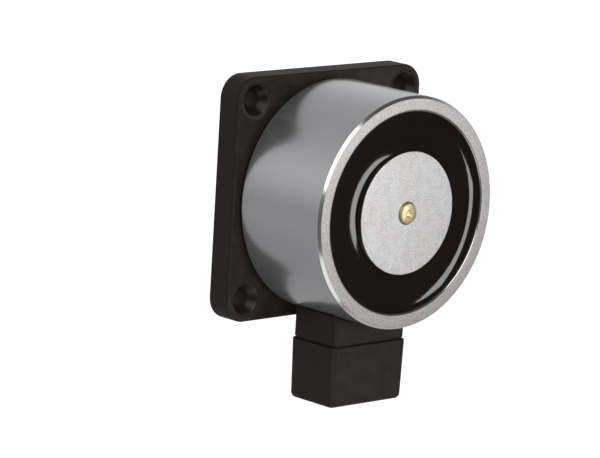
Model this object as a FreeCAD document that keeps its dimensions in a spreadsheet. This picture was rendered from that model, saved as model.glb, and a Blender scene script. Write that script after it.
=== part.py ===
# Electromagnetic door holder: a round holding magnet on a square wall plate, with a
# brass push-off pin in its middle and a wiring box hung below it.
# Frame in millimetres: the wall is the plane y = 0, the front looks along -Y, +Z is up,
# and the origin is the middle of the four wall screws on the wall plane.
import FreeCAD, Part
import math
import operator
import os
import Sketcher

SIZES = {
    # gaps between pieces
    "contact_gap": 0.05,  # between curved faces that touch
    "running_gap": 0.05,  # round the sliding pin
    "assembly_gap": 0.2,  # round pieces that are put in by hand
    # wall plate
    "plate_width": 74.0,
    "plate_thickness": 8.0,
    "plate_corner_radius": 7.0,
    "plate_edge_radius": 0.9,
    "plate_skin": 3.0,
    "plate_wall": 2.5,
    "rib_width": 1.6,
    "ribs_across": 7,
    "hole_spacing": 60.0,
    "wall_hole_width": 5.3,
    "countersink_width": 9.6,
    "corner_boss_width": 13.0,
    "seat_width": 66.0,
    "seat_height": 1.2,
    # screws from the plate into the magnet
    "pot_screw_circle": 50.0,
    "pot_screw_width": 5.0,
    "pot_screw_length": 12.0,
    "pot_screw_head_width": 9.0,
    "pot_screw_head_height": 3.4,
    "pot_screw_recess": 5.0,
    "pot_boss_width": 15.0,
    "washer_thickness": 1.0,
    "washer_width": 10.0,
    "tapped_depth": 8.5,
    # holding magnet
    "pot_width": 70.0,
    "pot_length": 34.5,
    "rim_inner_width": 60.6,
    "core_width": 37.0,
    "groove_depth": 25.0,
    "face_chamfer": 0.8,
    "rear_chamfer": 0.5,
    "inner_chamfer": 0.3,
    "mouth_chamfer": 0.45,
    # coil in the groove
    "bobbin_length": 20.0,
    "bobbin_wall": 1.0,
    "winding_width": 57.0,
    "tape_thickness": 0.4,
    # potting in the groove
    "resin_edge_depth": 2.0,
    "meniscus_width": 3.4,
    "meniscus_radius": 8.0,
    # push-off pin, its spring and plug
    "pin_width": 6.0,
    "pin_stand": 1.1,
    "pin_dome": 0.8,
    "pin_land": 4.0,
    "collar_width": 8.6,
    "collar_length": 2.0,
    "tail_width": 4.5,
    "tail_length": 8.0,
    "chamber_width": 9.0,
    "spring_wire": 0.8,
    "spring_width": 6.8,
    "spring_turns": 8,
    "plug_width": 9.9,
    "plug_length": 6.0,
    "plug_hole_depth": 8.0,
    "plug_slot": 1.2,
    # wiring box: the base that hugs the magnet and the cap below it
    "box_depth": 22.0,  # from the wall to the middle of the box
    "cap_width": 30.0,
    "cap_reach": 19.5,
    "cap_height": 18.5,
    "cap_taper_width": 0.8,
    "cap_taper_reach": 0.4,
    "cap_wall": 1.8,
    "cap_corner_radius": 2.2,
    "cap_foot_radius": 1.8,
    "cap_rim_radius": 0.3,
    "cap_overhang": 0.55,
    "neck_height": 7.0,  # from the magnet's lowest line to the cap
    "seal_thickness": 0.6,
    "seal_inset": 0.35,
    "gasket_thickness": 0.4,
    "gasket_inset": 0.4,
    "base_floor": 2.0,
    "base_wall": 3.0,
    "spigot_length": 3.0,
    "column_spread": 20.0,
    "column_stagger": 6.0,
    "column_width": 4.6,
    "tongue_width": 10.6,
    "tongue_thickness": 2.0,
    # screws that hold the base to the magnet
    "base_screw_width": 3.0,
    "base_screw_length": 6.0,
    "base_screw_head_width": 5.4,
    "base_screw_head_height": 1.9,
    "base_screw_spread": 16.4,
    "anchor_depth": 4.4,
    # screws that hold the cap
    "cap_screw_width": 2.5,
    "cap_screw_length": 8.0,
    "cap_screw_head_width": 4.6,
    "cap_screw_head_height": 1.5,
    "cap_boss_width": 6.4,
    "cap_boss_height": 1.2,
    # lead bush, coil leads and cable grommet
    "bush_width": 5.8,
    "bush_bore": 3.2,
    "lead_width": 1.1,
    "lead_spread": 1.4,
    "grommet_flange_width": 10.4,
    "grommet_neck_width": 8.0,
    "grommet_bore": 6.0,
    "grommet_flange": 1.0,
    # terminal block
    "block_width": 14.8,
    "block_reach": 9.0,
    "block_height": 12.0,
    "block_drop": 0.8,
    "block_edge": 0.5,
    "clamp_width": 4.2,
    "clamp_length": 8.6,
    "clamp_bore": 2.4,
    "clamp_spread": 8.2,
    "clamp_screw_width": 2.0,
    "clamp_screw_head_width": 3.0,
    "clamp_screw_head_height": 1.4,
    "clamp_screw_pitch": 5.2,
    "block_screw_width": 2.0,
    "block_screw_head_width": 3.6,
    "block_screw_head_height": 1.2,
}

doc = FreeCAD.newDocument("DoorHolder")
sheet = doc.addObject("Spreadsheet::Sheet", "Sizes")
for row, (name, number) in enumerate(SIZES.items(), start=1):
    sheet.set(f"A{row}", name)
    sheet.set(f"B{row}", str(number))
    sheet.setAlias(f"B{row}", name)
doc.recompute()
PIECES = []


# Sizes that carry their expression

OPERATIONS = {"+": operator.add, "-": operator.sub, "*": operator.mul, "/": operator.truediv}


class Size:
    """A number, and the expression that ties it to the cells of the sheet."""

    def __init__(self, value, text):
        self.value = value
        self.text = text

    def joined(self, sign, other, swapped=False):
        left, right = (sized(other), self) if swapped else (self, sized(other))
        return Size(OPERATIONS[sign](left.value, right.value), f"({left.text} {sign} {right.text})")

    def __add__(self, other):
        return self.joined("+", other)

    def __radd__(self, other):
        return self.joined("+", other, swapped=True)

    def __sub__(self, other):
        return self.joined("-", other)

    def __rsub__(self, other):
        return self.joined("-", other, swapped=True)

    def __mul__(self, other):
        return self.joined("*", other)

    def __rmul__(self, other):
        return self.joined("*", other, swapped=True)

    def __truediv__(self, other):
        return self.joined("/", other)

    def __neg__(self):
        return self * -1


def sized(number):
    return number if isinstance(number, Size) else Size(float(number), f"({float(number)})")


def cell(name):
    return Size(float(sheet.get(name)), f"Sizes.{name}")


def root(size):
    return Size(math.sqrt(size.value), f"sqrt({size.text})")


def leg(hypotenuse, side):
    """The other short side of a right-angled triangle."""
    return root(hypotenuse * hypotenuse - side * side)


def on_circle(radius, degrees):
    """The point of a circle about the origin at an angle from +X."""
    across = Size(math.cos(math.radians(degrees)), f"cos({degrees})")
    along = Size(math.sin(math.radians(degrees)), f"sin({degrees})")
    return radius * across, radius * along


# Sketches and features

NORMAL = {"XY_Plane": 1, "XZ_Plane": -1, "YZ_Plane": 1}  # along or against its own axis


def bind(thing, field, size):
    thing.setExpression(field, sized(size).text)


def place(piece, x=0, y=0, z=0):
    for axis, size in (("x", x), ("y", y), ("z", z)):
        bind(piece, f"Placement.Base.{axis}", size)
    return piece


def new_body(label, member=False):
    body = doc.addObject("PartDesign::Body", label)
    body.Label = label
    if not member:
        PIECES.append(body)
    return body


def new_sketch(body, role, along):
    """An empty sketch on the body's own plane, moved along that plane's axis."""
    sketch = body.newObject("Sketcher::SketchObject", "outline")
    plane = next(f for f in body.Origin.OriginFeatures if f.Role == role)
    sketch.AttachmentSupport = (plane, [""])
    sketch.MapMode = "FlatFace"
    bind(sketch, "AttachmentOffset.Base.z", sized(along) * NORMAL[role])
    return sketch


def fix_point(sketch, index, position, x, y):
    """Ties one point of a sketch to its place."""
    for kind, size, axis in (("DistanceX", x, -2), ("DistanceY", y, -1)):
        if isinstance(size, (int, float)) and size == 0:
            sketch.addConstraint(Sketcher.Constraint("PointOnObject", index, position, axis))
            continue
        size = sized(size)
        made = sketch.addConstraint(Sketcher.Constraint(kind, -1, 1, index, position, size.value))
        bind(sketch, f"Constraints[{made}]", size)


def fix_radius(sketch, index, size):
    made = sketch.addConstraint(Sketcher.Constraint("Radius", index, abs(size.value)))
    sketch.setExpression(f"Constraints[{made}]", f"abs({size.text})")


def arc_between(start, end, radius):
    """An arc whose middle lies left of the way from start to end, or right if radius < 0."""
    chord = end - start
    left = FreeCAD.Vector(-chord.y, chord.x, 0).normalize()
    rise = math.sqrt(radius * radius - chord.Length * chord.Length / 4)
    middle = (start + end) * 0.5 + left * math.copysign(rise, radius)
    first, last = (start, end) if radius > 0 else (end, start)
    angles = [math.atan2(p.y - middle.y, p.x - middle.x) for p in (first, last)]
    if angles[1] < angles[0]:
        angles[1] += 2 * math.pi
    circle = Part.Circle(middle, FreeCAD.Vector(0, 0, 1), abs(radius))
    return Part.ArcOfCircle(circle, *angles)


def outline(body, role, corners, along=0):
    """A closed outline on one of the body's planes.

    A corner is (x, y), or (x, y, radius) where the edge that leaves it is an arc, which
    bulges out of the outline, or into it where the radius is negative.
    """
    sketch = new_sketch(body, role, along)
    spots = [FreeCAD.Vector(sized(c[0]).value, sized(c[1]).value, 0) for c in corners]
    follow = spots[1:] + spots[:1]
    turn = math.copysign(1, sum(a.x * b.y - b.x * a.y for a, b in zip(spots, follow)))
    ends = []
    for corner, start, end in zip(corners, spots, follow):
        if len(corner) == 2:
            sketch.addGeometry(Part.LineSegment(start, end), False)
            ends.append((1, 2))
            continue
        radius = sized(corner[2]).value * turn
        sketch.addGeometry(arc_between(start, end, radius), False)
        ends.append((1, 2) if radius > 0 else (2, 1))
    for index, corner in enumerate(corners):
        after = (index + 1) % len(corners)
        sketch.addConstraint(
            Sketcher.Constraint("Coincident", index, ends[index][1], after, ends[after][0])
        )
        fix_point(sketch, index, ends[index][0], corner[0], corner[1])
        if len(corner) == 3:
            fix_radius(sketch, index, sized(corner[2]))
    return sketch


def rectangle(width, height, x=0, y=0):
    """Corners of a rectangle about a middle."""
    x, y = sized(x), sized(y)
    return [
        (x - width / 2, y - height / 2),
        (x + width / 2, y - height / 2),
        (x + width / 2, y + height / 2),
        (x - width / 2, y + height / 2),
    ]


def circles(body, role, spots, along=0):
    """Circles (x, y, width) on one of the body's planes."""
    sketch = new_sketch(body, role, along)
    for index, (x, y, width) in enumerate(spots):
        middle = FreeCAD.Vector(sized(x).value, sized(y).value, 0)
        circle = Part.Circle(middle, FreeCAD.Vector(0, 0, 1), sized(width).value / 2)
        sketch.addGeometry(circle, False)
        fix_point(sketch, index, 3, x, y)
        fix_radius(sketch, index, sized(width) / 2)
    return sketch


def settled(body, feature, grows):
    """Recomputes and makes sure that the feature added or removed something."""
    base = feature.BaseFeature.Shape.Volume if feature.BaseFeature else 0.0
    doc.recompute()
    change = feature.Shape.Volume - base
    if not feature.isValid() or (change > 0) != grows:
        raise RuntimeError(f"{body.Label}: {feature.Name} changed the volume by {change:.3f}")
    return feature


def pad(body, sketch, length, towards):
    """Adds material along +1 or -1 of the axis that the sketch looks along."""
    feature = body.newObject("PartDesign::Pad", "pad")
    feature.Profile = sketch
    feature.Reversed = towards != normal_of(sketch)
    bind(feature, "Length", length)
    return settled(body, feature, grows=True)


def pocket(body, sketch, towards, length=None):
    """Cuts along +1 or -1 of the axis that the sketch looks along, right through by default."""
    feature = body.newObject("PartDesign::Pocket", "pocket")
    feature.Profile = sketch
    feature.Reversed = towards == normal_of(sketch)
    if length is None:
        feature.Type = "ThroughAll"
    else:
        bind(feature, "Length", length)
    return settled(body, feature, grows=False)


def normal_of(sketch):
    return NORMAL[sketch.AttachmentSupport[0][0].Role]


def turned(body, role, corners):
    """Revolves an outline of (radius, place along the axis) about the plane's upright axis."""
    sketch = outline(body, role, corners)
    feature = body.newObject("PartDesign::Revolution", "turned")
    feature.Profile = sketch
    feature.ReferenceAxis = (sketch, ["V_Axis"])
    feature.Angle = 360
    return settled(body, feature, grows=True)


def repeated(body, feature, role, axis, count, span):
    """Repeats a feature in a row that spans a length along an axis of its sketch."""
    row = body.newObject("PartDesign::LinearPattern", "row")
    row.Originals = [feature]
    row.Direction = (feature.Profile[0], [axis])
    bind(row, "Length", span)
    bind(row, "Occurrences", count)
    body.Tip = row
    return settled(body, row, grows=True)


def rounded(body, size, chosen, kind="Fillet"):
    """Rounds or bevels those edges of the body for which chosen(edge) holds."""
    base = body.Tip
    names = [f"Edge{n}" for n, edge in enumerate(base.Shape.Edges, start=1) if chosen(edge)]
    if not names:
        raise RuntimeError(f"{body.Label}: no edge to round")
    feature = body.newObject(f"PartDesign::{kind}", kind.lower())
    feature.Base = (base, names)
    bind(feature, "Radius" if kind == "Fillet" else "Size", size)
    doc.recompute()
    if not feature.isValid():
        raise RuntimeError(f"{body.Label}: {kind} failed")
    return feature


def runs_along(edge, axis):
    """True for a straight edge along x, y or z."""
    if not isinstance(edge.Curve, (Part.Line, Part.LineSegment)):
        return False
    start, end = edge.Vertexes[0].Point, edge.Vertexes[-1].Point
    step = end - start
    return abs(abs(getattr(step, axis)) - step.Length) < 1e-6


def lies_at(edge, axis, level):
    """True for an edge that lies all in the plane where x, y or z is at a level."""
    box = edge.BoundBox
    low, high = getattr(box, f"{axis.upper()}Min"), getattr(box, f"{axis.upper()}Max")
    return abs(low - level) < 1e-4 and abs(high - level) < 1e-4


def box_reach(edge, axis):
    """How far an edge's middle lies from the middle plane of x, y or z."""
    return abs(getattr(edge.BoundBox.Center, axis))


def group(label, members):
    """One piece made of equal separate members."""
    piece = doc.addObject("Part::Compound", label)
    piece.Label = label
    piece.Links = members
    PIECES.append(piece)
    return piece


# Screws

def cross(width, arm):
    """Corners of a cross recess."""
    long, short = width / 2, arm / 2
    return [
        (short, long), (short, short), (long, short),
        (long, -short), (short, -short), (short, -long),
        (-short, -long), (-short, -short), (-long, -short),
        (-long, short), (-short, short), (-short, long),
    ]


def screw(label, axis, towards, width, length, head_width, head_height, slotted=False):
    """A cheese-head screw whose head rests on the plane at zero and whose shank points towards.

    Its axis is y or z, and towards is +1 or -1 along it.
    """
    body = new_body(label, member=True)
    profile_role = "XY_Plane" if axis == "y" else "XZ_Plane"
    round_over = head_height / 3
    tip = width / 8
    turned(body, profile_role, [
        (0, head_height * -towards),
        (head_width / 2 - round_over, head_height * -towards, round_over),
        (head_width / 2, (head_height - round_over) * -towards),
        (head_width / 2, 0),
        (width / 2, 0),
        (width / 2, (length - tip) * towards),
        (width / 2 - tip, length * towards),
        (0, length * towards),
    ])
    recess_role = "XZ_Plane" if axis == "y" else "XY_Plane"
    if slotted:
        corners = rectangle(head_width * 1.2, head_width / 5)
    else:
        corners = cross(head_width * 0.55, head_width * 0.13)
    recess = outline(body, recess_role, corners, head_height * -towards)
    pocket(body, recess, towards, head_height * 0.55)
    return body


# Places worked out from the sizes

plate_width = cell("plate_width")
plate_thickness = cell("plate_thickness")
contact_gap = cell("contact_gap")
assembly_gap = cell("assembly_gap")

pot_radius = cell("pot_width") / 2
rim_inner = cell("rim_inner_width") / 2
core_radius = cell("core_width") / 2
pot_rear = plate_thickness + cell("seat_height")
pot_face = pot_rear + cell("pot_length")
groove_floor = pot_face - cell("groove_depth")
bobbin_front = groove_floor + cell("bobbin_length")
collar_front = pot_face - cell("pin_land")
collar_rear = collar_front - cell("collar_length")
plug_front = pot_rear + cell("plug_length")

hole_reach = cell("hole_spacing") / 2
wall_holes = [(hole_reach * x, hole_reach * y) for x in (-1, 1) for y in (-1, 1)]
pot_screw_spots = [on_circle(cell("pot_screw_circle") / 2, angle) for angle in (90, 210, 330)]
pot_screw_seat = cell("pot_screw_recess")

box_depth = cell("box_depth")
saddle_radius = pot_radius + contact_gap * 2 + cell("gasket_thickness")
base_ceiling = saddle_radius + cell("base_floor")
cap_top = pot_radius + cell("neck_height")
base_bottom = cap_top - cell("seal_thickness")
cap_bottom = cap_top + cell("cap_height")
cap_floor = cap_bottom - cell("cap_wall")
cap_boss_top = cap_floor - cell("cap_boss_height")
neck_width = cell("cap_width") - cell("cap_overhang") * 2
neck_reach = cell("cap_reach") - cell("cap_overhang") * 2
cavity_width = neck_width - cell("base_wall") * 2
cavity_reach = neck_reach - cell("base_wall") * 2
spigot_width = cell("cap_width") - (cell("cap_wall") + assembly_gap) * 2
spigot_reach = cell("cap_reach") - (cell("cap_wall") + assembly_gap) * 2

# Columns stand rear left and front right, the base screws on the other two corners.
column_x = cell("column_spread") / 2
column_y = cell("column_stagger") / 2
column_spots = [(-column_x, column_y), (column_x, -column_y)]
anchor_x = cell("base_screw_spread") / 2
anchor_spots = [(-anchor_x, -column_y), (anchor_x, column_y)]
lead_hole_width = cell("bush_width") + contact_gap * 4

tongue_front = cavity_reach / 2 - cell("tongue_thickness")
block_top = cap_top + cell("block_drop")
block_bottom = block_top + cell("block_height")
block_front = cell("block_reach") - tongue_front
clamp_x = cell("clamp_spread") / 2
clamp_level = (block_top + block_bottom) / 2
clamp_front = cell("clamp_width") / 2


# Wall plate

def make_base_plate():
    body = new_body("base_plate")
    pad(body, outline(body, "XZ_Plane", rectangle(plate_width, plate_width)), plate_thickness, -1)
    rounded(body, cell("plate_corner_radius"), lambda edge: runs_along(edge, "y"))
    front = -plate_thickness.value
    rounded(body, cell("plate_edge_radius"), lambda edge: lies_at(edge, "y", front))
    pad(body, circles(body, "XZ_Plane", [(0, 0, cell("seat_width"))]), pot_rear, -1)

    cored = plate_width - cell("plate_wall") * 2
    core_depth = plate_thickness - cell("plate_skin")
    pocket(body, outline(body, "XZ_Plane", rectangle(cored, cored)), -1, core_depth)
    inside = cored.value / 2
    rounded(
        body,
        cell("plate_corner_radius") - cell("plate_wall"),
        lambda edge: runs_along(edge, "y") and abs(box_reach(edge, "x") - inside) < 1e-4
        and abs(box_reach(edge, "z") - inside) < 1e-4,
    )
    add_back_ribs(body, cored, core_depth)

    bosses = [(x, y, cell("corner_boss_width")) for x, y in wall_holes]
    bosses += [(x, y, cell("pot_boss_width")) for x, y in pot_screw_spots]
    pad(body, circles(body, "XZ_Plane", bosses), core_depth, -1)

    holes = [(x, y, cell("wall_hole_width")) for x, y in wall_holes]
    add_holes(body, holes, -plate_thickness, 1, "Countersink", cell("countersink_width"))
    clear = cell("pot_screw_width") + assembly_gap * 2
    holes = [(x, y, clear) for x, y in pot_screw_spots]
    add_holes(
        body, holes, 0, -1, "Counterbore", cell("washer_width") + assembly_gap * 4, pot_screw_seat
    )


def add_back_ribs(body, cored, core_depth):
    """A grid of ribs in the hollow back, in two rows."""
    count = cell("ribs_across")
    pitch = (cored + cell("rib_width")) / (count + 1)
    span = pitch * (count - 1)
    length = plate_width - cell("plate_wall")
    rib = cell("rib_width")
    upright = outline(body, "XZ_Plane", rectangle(rib, length, x=span / -2))
    repeated(body, pad(body, upright, core_depth, -1), "XZ_Plane", "H_Axis", count, span)
    level = outline(body, "XZ_Plane", rectangle(length, rib, y=span / -2))
    repeated(body, pad(body, level, core_depth, -1), "XZ_Plane", "V_Axis", count, span)


def add_holes(body, holes, along, towards, cut, cut_width, cut_depth=None):
    """Through holes with a countersink or counterbore where they start."""
    feature = body.newObject("PartDesign::Hole", "hole")
    feature.Profile = circles(body, "XZ_Plane", holes, along)
    doc.recompute()
    feature.ThreadType = "None"
    feature.Reversed = towards == NORMAL["XZ_Plane"]
    bind(feature, "Diameter", holes[0][2])
    feature.DepthType = "ThroughAll"
    feature.HoleCutType = cut
    feature.HoleCutCustomValues = True
    bind(feature, "HoleCutDiameter", cut_width)
    if cut_depth is None:
        feature.HoleCutCountersinkAngle = 90
    else:
        bind(feature, "HoleCutDepth", cut_depth)
    settled(body, feature, grows=False)


def make_pot_screws():
    """Three screws with washers that hold the magnet to the plate from behind."""
    screws, washers = [], []
    for x, z in pot_screw_spots:
        washer = new_body("pot_washer", member=True)
        inner = cell("pot_screw_width") / 2 + contact_gap * 2
        outer = cell("washer_width") / 2
        thick = cell("washer_thickness")
        turned(washer, "XY_Plane", [(inner, 0), (outer, 0), (outer, thick), (inner, thick)])
        washers.append(place(washer, x=x, y=-pot_screw_seat, z=z))
        body = screw(
            "pot_screw", "y", -1, cell("pot_screw_width"), cell("pot_screw_length"),
            cell("pot_screw_head_width"), cell("pot_screw_head_height"),
        )
        screws.append(place(body, x=x, y=thick - pot_screw_seat, z=z))
    group("pot_screws", screws)
    group("pot_washers", washers)


# Magnet

def make_magnet_pot():
    """Steel pot and core turned from one bar, with a stepped bore for the push-off pin."""
    body = new_body("magnet_pot")
    length = cell("pot_length")
    floor = length - cell("groove_depth")
    face, rear, inner = cell("face_chamfer"), cell("rear_chamfer"), cell("inner_chamfer")
    land = cell("pin_width") / 2 + cell("running_gap")
    mouth = cell("mouth_chamfer")
    chamber = cell("chamber_width") / 2
    plug_bore = cell("plug_width") / 2 + contact_gap
    plug_depth = cell("plug_hole_depth")
    turned(body, "XY_Plane", [
        (plug_bore, 0),
        (pot_radius - rear, 0),
        (pot_radius, -rear),
        (pot_radius, face - length),
        (pot_radius - face, -length),
        (rim_inner + inner, -length),
        (rim_inner, inner - length),
        (rim_inner, -floor),
        (core_radius, -floor),
        (core_radius, inner - length),
        (core_radius - inner, -length),
        (land + mouth, -length),
        (land, mouth - length),
        (land, cell("pin_land") - length),
        (chamber, cell("pin_land") - length),
        (chamber, -plug_depth),
        (plug_bore, -plug_depth),
    ])
    tapped = cell("pot_screw_width") + contact_gap * 2
    taps = circles(body, "XZ_Plane", [(x, y, tapped) for x, y in pot_screw_spots])
    pocket(body, taps, -1, cell("tapped_depth"))

    below = pot_rear - box_depth
    lead_hole = circles(body, "XY_Plane", [(0, below, lead_hole_width)], -pot_radius)
    pocket(body, lead_hole, 1, pot_radius - rim_inner + assembly_gap * 5)
    width = cell("base_screw_width") + contact_gap * 2
    anchors = circles(body, "XY_Plane", [(x, below + y, width) for x, y in anchor_spots], -pot_radius)
    pocket(body, anchors, 1, cell("anchor_depth"))
    place(body, y=-pot_rear)


def make_coil():
    """Bobbin, winding and tape, seated on the floor of the groove."""
    wall = cell("bobbin_wall")
    length = cell("bobbin_length")
    inner = core_radius + assembly_gap
    outer = rim_inner - assembly_gap
    bobbin = new_body("coil_bobbin")
    turned(bobbin, "XY_Plane", [
        (inner, 0),
        (outer, 0),
        (outer, -wall),
        (inner + wall, -wall),
        (inner + wall, wall - length),
        (outer, wall - length),
        (outer, -length),
        (inner, -length),
    ])
    place(bobbin, y=-groove_floor)

    first_turn = inner + wall + contact_gap
    last_turn = cell("winding_width") / 2
    wound = length - (wall + contact_gap) * 2
    winding = new_body("coil_winding")
    turned(winding, "XY_Plane", [
        (first_turn, 0), (last_turn, 0), (last_turn, -wound), (first_turn, -wound),
    ])
    place(winding, y=-groove_floor - wall - contact_gap)

    tape = new_body("winding_tape")
    inside = last_turn + contact_gap
    outside = inside + cell("tape_thickness")
    turned(tape, "XY_Plane", [(inside, 0), (outside, 0), (outside, -wound), (inside, -wound)])
    place(tape, y=-groove_floor - wall - contact_gap)


def make_resin():
    """Potting poured on the bobbin, level in the middle and drawn up at both walls."""
    body = new_body("potting_resin")
    inner = core_radius + contact_gap
    outer = rim_inner - contact_gap
    edge = pot_face - bobbin_front - cell("resin_edge_depth")
    creep = cell("meniscus_width")
    curve = cell("meniscus_radius")
    level = edge - (curve - leg(curve, creep))
    turned(body, "XY_Plane", [
        (outer, 0),
        (outer, -edge, -curve),
        (outer - creep, -level),
        (inner + creep, -level, -curve),
        (inner, -edge),
        (inner, 0),
    ])
    place(body, y=-bobbin_front)


def make_push_off_pin():
    """The brass pin, its spring and the slotted plug behind it, all on the magnet's axis."""
    pin = new_body("push_off_pin")
    radius = cell("pin_width") / 2
    dome = cell("pin_dome")
    tip = cell("pin_land") + cell("pin_stand")
    curve = (radius * radius + dome * dome) / (dome * 2)
    collar = cell("collar_width") / 2
    tail = cell("tail_width") / 2
    bevel = cell("tail_width") / 9
    collar_length = cell("collar_length")
    end = collar_length + cell("tail_length")
    turned(pin, "XY_Plane", [
        (0, -tip, curve),
        (radius, dome - tip),
        (radius, 0),
        (collar, 0),
        (collar, collar_length),
        (tail, collar_length),
        (tail, end - bevel),
        (tail - bevel, end),
        (0, end),
    ])
    place(pin, y=-collar_front)

    plug = new_body("spring_plug")
    plug_radius = cell("plug_width") / 2
    length = cell("plug_length")
    slot = cell("plug_slot")
    bevel = slot / 3
    turned(plug, "XY_Plane", [
        (0, 0),
        (plug_radius - bevel, 0),
        (plug_radius, -bevel),
        (plug_radius, -length),
        (0, -length),
    ])
    cut = outline(plug, "XZ_Plane", rectangle(plug_radius * 3, slot))
    pocket(plug, cut, -1, slot * 1.3)
    place(plug, y=-pot_rear)
    make_spring()


def make_spring():
    """A helical spring with ground ends, between the pin's collar and the plug."""
    length = (collar_rear - plug_front).value
    wire = cell("spring_wire").value
    radius = cell("spring_width").value / 2
    turns = cell("spring_turns").value
    steps_in_half = 8
    halves = round(turns * 2)
    steps = halves * steps_in_half
    points = []
    for step in range(steps + 1):
        angle = 2 * math.pi * turns * step / steps
        points.append(FreeCAD.Vector(
            radius * math.cos(angle), radius * math.sin(angle), length * step / steps
        ))
    line = Part.BSplineCurve()
    line.interpolate(points)
    marks = [line.parameter(points[half * steps_in_half]) for half in range(halves + 1)]
    path = Part.Wire([line.toShape(start, end) for start, end in zip(marks, marks[1:])])
    section = Part.Circle(points[0], FreeCAD.Vector(0, 1, 0), wire / 2)
    coil = path.makePipeShell([Part.Wire(section.toShape())], True, True)
    spring = doc.addObject("Part::Feature", "push_off_spring")
    spring.Label = "push_off_spring"
    spring.Shape = coil.common(Part.makeCylinder(radius + wire, length))
    spring.Placement.Rotation = FreeCAD.Rotation(FreeCAD.Vector(1, 0, 0), 90)
    bind(spring, "Placement.Base.y", -plug_front)
    PIECES.append(spring)


# Wiring box

def make_connector_base():
    """The base that hugs the magnet, with a spigot, a tongue and two columns inside the cap."""
    body = new_body("connector_base")
    side = neck_width / 2
    shoulder = -leg(saddle_radius, side)
    saddle = outline(body, "XZ_Plane", [
        (-side, -base_bottom),
        (side, -base_bottom),
        (side, shoulder, -saddle_radius),
        (-side, shoulder),
    ], neck_reach / 2)
    pad(body, saddle, neck_reach, -1)
    rounded(
        body, cell("cap_corner_radius") - cell("cap_overhang"), lambda edge: runs_along(edge, "z")
    )
    opening = outline(body, "XY_Plane", rectangle(cavity_width, cavity_reach), -base_bottom)
    pocket(body, opening, 1, base_bottom - base_ceiling)

    spigot = outline(body, "XY_Plane", rectangle(spigot_width, spigot_reach), -base_bottom)
    pad(body, spigot, cell("spigot_length"), -1)
    rounded(
        body, cell("cap_corner_radius") - cell("cap_wall") / 2,
        lambda edge: stands_at(edge, spigot_width.value / 2, spigot_reach.value / 2),
    )
    bottom = base_bottom + cell("spigot_length")
    inner = outline(body, "XY_Plane", rectangle(cavity_width, cavity_reach), -bottom)
    pocket(body, inner, 1, bottom - base_ceiling)

    tongue = rectangle(
        cell("tongue_width"), cell("tongue_thickness") + cell("base_wall") / 2,
        y=tongue_front + (cell("tongue_thickness") + cell("base_wall") / 2) / 2,
    )
    pad(body, outline(body, "XY_Plane", tongue, -base_ceiling), block_bottom - base_ceiling, -1)
    columns = [(x, y, cell("column_width")) for x, y in column_spots]
    column_end = cap_boss_top - assembly_gap
    pad(body, circles(body, "XY_Plane", columns, -base_ceiling), column_end - base_ceiling, -1)

    pilots = [(x, y, cell("cap_screw_width") + contact_gap * 2) for x, y in column_spots]
    drilled = circles(body, "XY_Plane", pilots, -column_end)
    pocket(body, drilled, 1, cell("cap_screw_length"))
    holes = [(x, y, cell("base_screw_width") + contact_gap * 4) for x, y in anchor_spots]
    holes.append((0, 0, lead_hole_width))
    pocket(body, circles(body, "XY_Plane", holes, -base_ceiling), 1)
    width = cell("block_screw_width") + contact_gap * 2
    hole = circles(body, "XZ_Plane", [(0, -clamp_level, width)], tongue_front)
    pocket(body, hole, 1)
    place(body, y=-box_depth)


def make_saddle_gasket():
    """The thin gasket between the magnet and the base."""
    body = new_body("saddle_gasket")
    side = neck_width / 2 - cell("gasket_inset")
    reach = neck_reach - cell("gasket_inset") * 2
    above = pot_radius + contact_gap
    below = above + cell("gasket_thickness")
    corners = [
        (-side, -leg(below, side), below),
        (side, -leg(below, side)),
        (side, -leg(above, side), -above),
        (-side, -leg(above, side)),
    ]
    pad(body, outline(body, "XZ_Plane", corners, reach / 2), reach, -1)
    holes = [(x, y, cell("base_screw_width") + contact_gap * 4) for x, y in anchor_spots]
    holes.append((0, 0, lead_hole_width))
    pocket(body, circles(body, "XY_Plane", holes, -below - assembly_gap), 1)
    place(body, y=-box_depth)


def make_base_screws():
    """Two screws from inside the base up into the magnet's wall."""
    screws = []
    for x, y in anchor_spots:
        body = screw(
            "base_screw", "z", 1, cell("base_screw_width"), cell("base_screw_length"),
            cell("base_screw_head_width"), cell("base_screw_head_height"),
        )
        screws.append(place(body, x=x, y=y - box_depth, z=-base_ceiling))
    group("base_screws", screws)


def make_cap_seal():
    """The flat seal between the base and the cap, round the spigot."""
    body = new_body("cap_seal")
    width = neck_width - cell("seal_inset") * 2
    reach = neck_reach - cell("seal_inset") * 2
    thick = cell("seal_thickness")
    pad(body, outline(body, "XY_Plane", rectangle(width, reach)), thick, 1)
    rounded(
        body, cell("cap_corner_radius") - cell("cap_overhang") - cell("seal_inset"),
        lambda edge: runs_along(edge, "z"),
    )
    hole = rectangle(spigot_width + contact_gap * 2, spigot_reach + contact_gap * 2)
    pocket(body, outline(body, "XY_Plane", hole), 1)
    place(body, y=-box_depth, z=-cap_top)


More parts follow.
